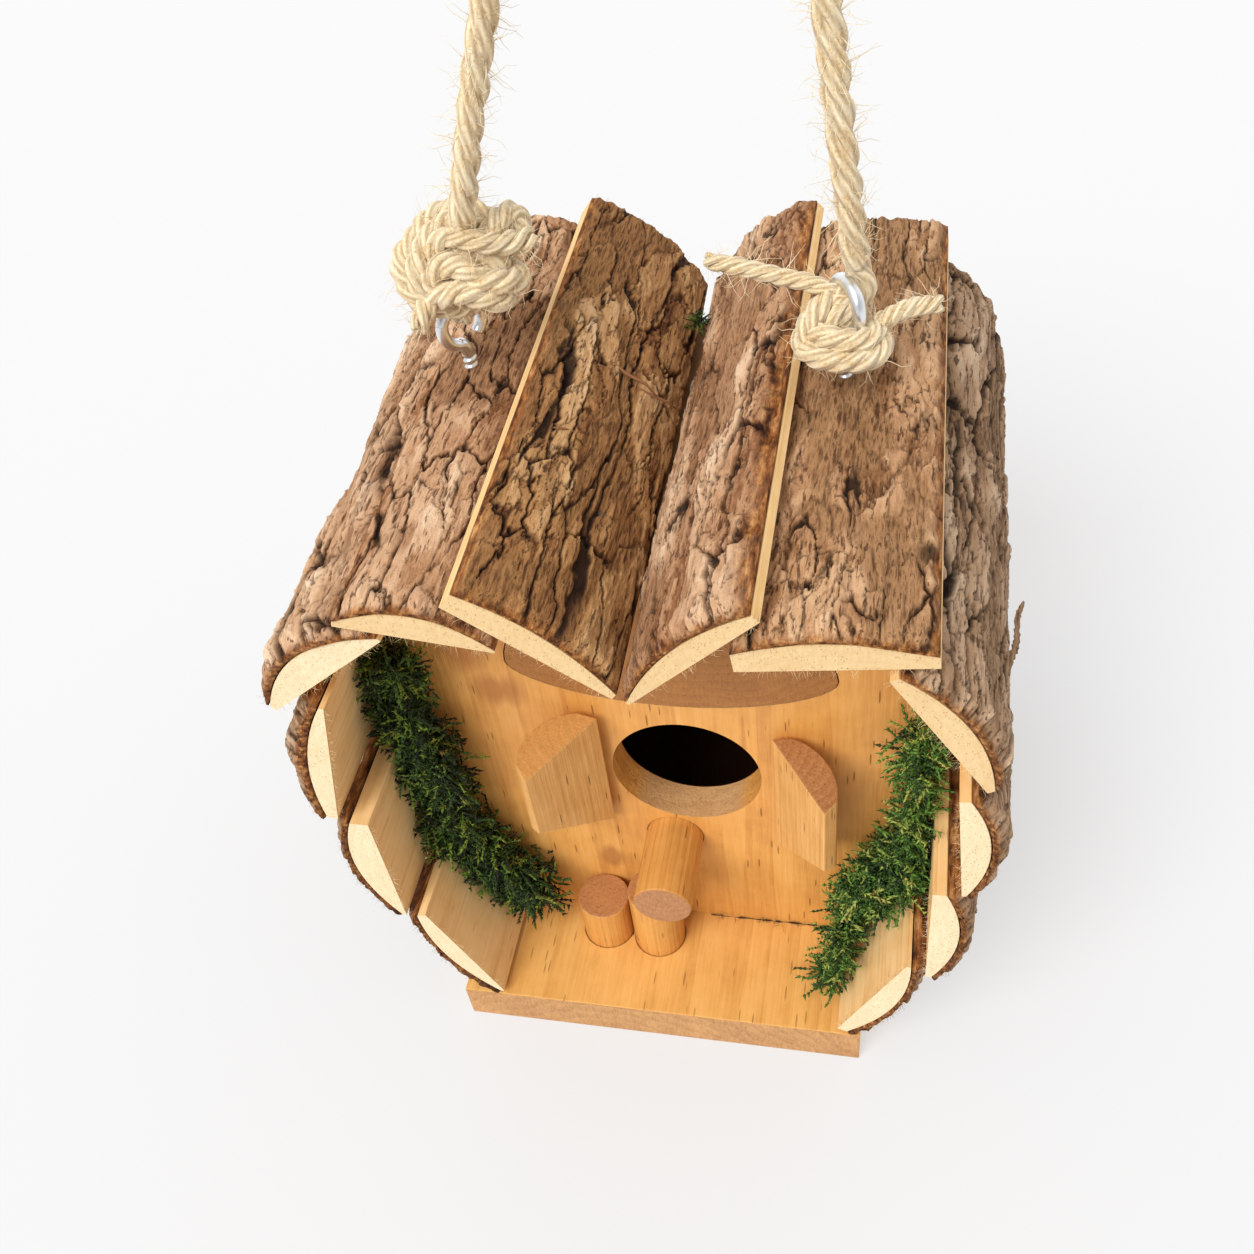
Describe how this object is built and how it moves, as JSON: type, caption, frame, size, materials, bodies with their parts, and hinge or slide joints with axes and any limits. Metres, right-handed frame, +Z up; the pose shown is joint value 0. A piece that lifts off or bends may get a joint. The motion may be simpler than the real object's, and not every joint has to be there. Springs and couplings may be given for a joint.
{
  "type": "birdhouse",
  "caption": "Rustic nest box of split logs with bark, round entrance, perch, valley roof, base board and a rope to hang it by.",
  "frame": {"origin": "middle of the footprint of the house without its rope and knots, at the underside of the base board", "axes": "+X to the right seen from the front, +Y from the entrance back into the house, +Z up"},
  "size_m": [0.1376, 0.1256, 0.2494],
  "materials": {
    "sawn_wood": "rough sawn, unfinished",
    "bark": "rough flaky bark",
    "board": "planed, oiled satin",
    "end_grain": "sawn end grain, oiled",
    "dowel": "smooth, oiled satin",
    "zinc": "bright zinc plate",
    "nail_steel": "dull steel",
    "jute": "hairy laid rope",
    "moss": "preserved moss"
  },
  "bodies": {
    "root": {"roof_slab_left_outer": "sawn_wood", "roof_slab_left_outer_bark": "bark", "nail_roof_slab_left_outer": "nail_steel", "roof_slab_left_middle": "sawn_wood", "roof_slab_left_middle_bark": "bark", "nail_roof_slab_left_middle": "nail_steel", "roof_slab_left_inner": "sawn_wood", "roof_slab_left_inner_bark": "bark", "nail_roof_slab_left_inner": "nail_steel", "roof_slab_right_inner": "sawn_wood", "roof_slab_right_inner_bark": "bark", "nail_roof_slab_right_inner": "nail_steel", "roof_slab_right_middle": "sawn_wood", "roof_slab_right_middle_bark": "bark", "nail_roof_slab_right_middle": "nail_steel", "roof_slab_right_outer": "sawn_wood", "roof_slab_right_outer_bark": "bark", "nail_roof_slab_right_outer": "nail_steel", "wall_slab_left_top": "sawn_wood", "wall_slab_left_top_bark": "bark", "nail_wall_slab_left_top": "nail_steel", "wall_slab_left_middle": "sawn_wood", "wall_slab_left_middle_bark": "bark", "nail_wall_slab_left_middle": "nail_steel", "wall_slab_left_bottom": "sawn_wood", "wall_slab_left_bottom_bark": "bark", "nail_wall_slab_left_bottom": "nail_steel", "wall_slab_right_top": "sawn_wood", "wall_slab_right_top_bark": "bark", "nail_wall_slab_right_top": "nail_steel", "wall_slab_right_middle": "sawn_wood", "wall_slab_right_middle_bark": "bark", "nail_wall_slab_right_middle": "nail_steel", "wall_slab_right_bottom": "sawn_wood", "wall_slab_right_bottom_bark": "bark", "nail_wall_slab_right_bottom": "nail_steel", "nail_base_1": "nail_steel", "nail_base_2": "nail_steel", "nail_base_3": "nail_steel", "nail_base_4": "nail_steel", "base_board": "board", "front_panel": "board", "back_panel": "board", "roof_rail": "end_grain", "perch": "dowel", "post_left": "dowel", "post_middle": "dowel", "half_round_left": "dowel", "half_round_right": "dowel", "screw_eye_left": "zinc", "screw_eye_right": "zinc", "hanging_rope": "jute", "knot_left": "jute", "knot_right": "jute", "moss_left": "moss", "moss_right": "moss", "moss_tuft": "moss"}
  },
  "joints": []
}
